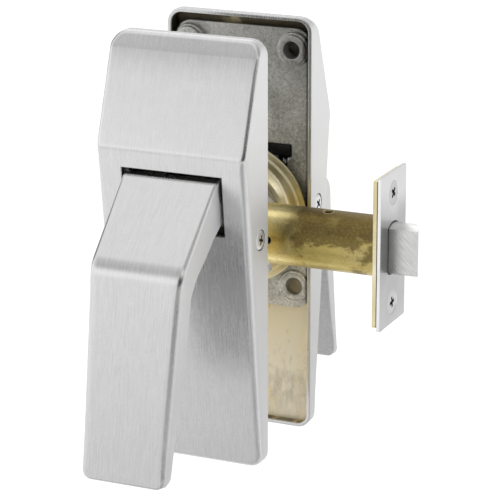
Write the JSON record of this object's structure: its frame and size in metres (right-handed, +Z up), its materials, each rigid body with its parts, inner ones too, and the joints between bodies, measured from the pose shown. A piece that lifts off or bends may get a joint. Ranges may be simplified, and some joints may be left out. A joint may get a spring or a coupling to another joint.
{
  "type": "push and pull paddle latch",
  "caption": "Push and pull paddle latch for a door: slanted cast trims with hanging paddles on both sides of a brass tubular latch with a sprung, bevelled bolt.",
  "frame": {"origin": "where the latch axis crosses the centre line of the trims, in the middle of the door's thickness", "axes": "+X along the latch, the way the bolt points; +Y through the door from the front (push) side to the rear (pull) side; +Z up"},
  "size_m": [0.1113, 0.1612, 0.16],
  "materials": {
    "satin_chrome": "satin chrome plate on a casting, brushed",
    "cast_zinc": "bare grey die-casting",
    "yellow_zinc": "yellow plated steel",
    "patina_brass": "bare brass with brown stains",
    "black_steel": "black oxide",
    "screw_chrome": "chrome plated screw",
    "spring_steel": "spring wire",
    "black_nylon": "black nylon",
    "bright_steel": "zinc plated steel",
    "bolt_chrome": "ground and chrome plated"
  },
  "bodies": {
    "case": {"front_escutcheon": "satin_chrome", "rear_escutcheon": "satin_chrome", "front_mounting_plate": "cast_zinc", "rear_mounting_plate": "cast_zinc", "front_hub_ring": "yellow_zinc", "rear_hub_ring": "yellow_zinc", "front_ring_rivets": "bright_steel", "rear_ring_rivets": "bright_steel", "front_pivot_pin": "black_steel", "rear_pivot_pin": "black_steel", "front_pin_clips": "black_steel", "rear_pin_clips": "black_steel", "front_side_screws": "screw_chrome", "rear_side_screws": "screw_chrome", "front_return_spring": "spring_steel", "rear_return_spring": "spring_steel", "bolt_spring": "spring_steel", "latch_tube": "patina_brass", "tail_guide": "black_nylon", "rod_cradle": "cast_zinc", "backing_plate": "yellow_zinc", "faceplate": "satin_chrome", "faceplate_screws": "screw_chrome"},
    "front_handle": {"front_paddle": "satin_chrome", "front_paddle_bushes": "black_nylon", "front_drive_pin": "bright_steel"},
    "rear_handle": {"rear_paddle": "satin_chrome", "rear_paddle_bushes": "black_nylon", "rear_drive_pin": "bright_steel"},
    "drive": {"push_rod": "bright_steel", "cam_plate": "bright_steel", "cam_rivets": "bright_steel"},
    "retractor": {"latch_tail": "bright_steel", "tail_pin": "bright_steel"},
    "bolt": {"latch_bolt": "bolt_chrome", "bolt_collar": "patina_brass"}
  },
  "joints": [
    {"name": "front_paddle_push", "type": "hinge", "parent": "case", "child": "front_handle", "pos_m": [0, -0.032, 0.025], "axis": [1, 0, 0], "range_deg": [0, 9], "stiffness_Nm_per_rad": 1.2, "springref_deg": -11.46, "deforming": ["front_return_spring"]},
    {"name": "rear_paddle_pull", "type": "hinge", "parent": "case", "child": "rear_handle", "pos_m": [0, 0.032, 0.025], "axis": [1, 0, 0], "range_deg": [0, 9], "deforming": ["rear_return_spring"]},
    {"name": "push_rod_slide", "type": "slide", "parent": "case", "child": "drive", "axis": [0, 1, 0], "range_m": [0, 0.0054]},
    {"name": "retractor_slide", "type": "slide", "parent": "case", "child": "retractor", "axis": [-1, 0, 0], "range_m": [0, 0.012]},
    {"name": "bolt_slide", "type": "slide", "parent": "retractor", "child": "bolt", "axis": [-1, 0, 0], "range_m": [0, 0.012], "stiffness_N_per_m": 180, "springref_m": -0.015, "deforming": ["bolt_spring"]}
  ],
  "couplings": [
    {"joint": "rear_paddle_pull", "follows": "front_paddle_push", "ratio": 1},
    {"joint": "push_rod_slide", "follows": "front_paddle_push", "m_per_rad": 0.034377},
    {"joint": "retractor_slide", "follows": "front_paddle_push", "m_per_rad": 0.076394}
  ]
}
